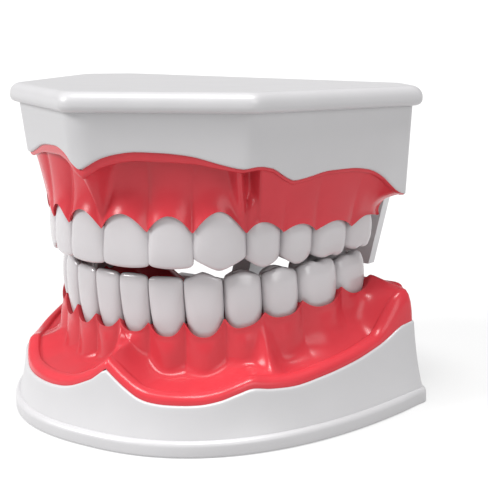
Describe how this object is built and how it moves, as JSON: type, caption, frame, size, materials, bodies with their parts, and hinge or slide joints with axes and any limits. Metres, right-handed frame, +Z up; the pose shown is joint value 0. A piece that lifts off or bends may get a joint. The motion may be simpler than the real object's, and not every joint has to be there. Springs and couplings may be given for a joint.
{
  "type": "typodont",
  "caption": "Hinged dental study model: white upper and lower casings, red gums and separate oversize teeth, with the upper jaw swinging open on a rear pin hinge.",
  "frame": {"origin": "on the floor under the centre of the whole model's box", "axes": "+Z up, -Y to the front of the mouth, +X to the patient's left"},
  "size_m": [0.138, 0.12, 0.1018],
  "materials": {
    "casing": "smooth white moulded plastic, satin gloss",
    "gum": "glossy red moulded plastic",
    "tooth": "polished white acrylic",
    "steel": "plated steel"
  },
  "bodies": {
    "lower_jaw": {"lower_base_plate": "casing", "lower_case": "casing", "lower_gum": "gum", "lower_hinge": "casing", "hinge_pin": "steel", "pin_clips": "steel", "base_screws": "steel", "lower_hinge_screws": "steel", "lower_left_central_incisor": "tooth", "lower_left_lateral_incisor": "tooth", "lower_left_canine": "tooth", "lower_left_first_premolar": "tooth", "lower_left_second_premolar": "tooth", "lower_left_first_molar": "tooth", "lower_left_second_molar": "tooth", "lower_right_central_incisor": "tooth", "lower_right_lateral_incisor": "tooth", "lower_right_canine": "tooth", "lower_right_first_premolar": "tooth", "lower_right_second_premolar": "tooth", "lower_right_first_molar": "tooth", "lower_right_second_molar": "tooth"},
    "upper_jaw": {"upper_cover": "casing", "upper_case": "casing", "upper_gum": "gum", "upper_hinge": "casing", "cover_screws": "steel", "upper_hinge_screws": "steel", "upper_left_central_incisor": "tooth", "upper_left_lateral_incisor": "tooth", "upper_left_canine": "tooth", "upper_left_first_premolar": "tooth", "upper_left_second_premolar": "tooth", "upper_left_first_molar": "tooth", "upper_left_second_molar": "tooth", "upper_right_central_incisor": "tooth", "upper_right_lateral_incisor": "tooth", "upper_right_canine": "tooth", "upper_right_first_premolar": "tooth", "upper_right_second_premolar": "tooth", "upper_right_first_molar": "tooth", "upper_right_second_molar": "tooth"}
  },
  "joints": [
    {"name": "jaw_hinge", "type": "hinge", "parent": "lower_jaw", "child": "upper_jaw", "pos_m": [0, 0.052, 0.045], "axis": [-1, 0, 0], "range_deg": [0, 90]}
  ]
}
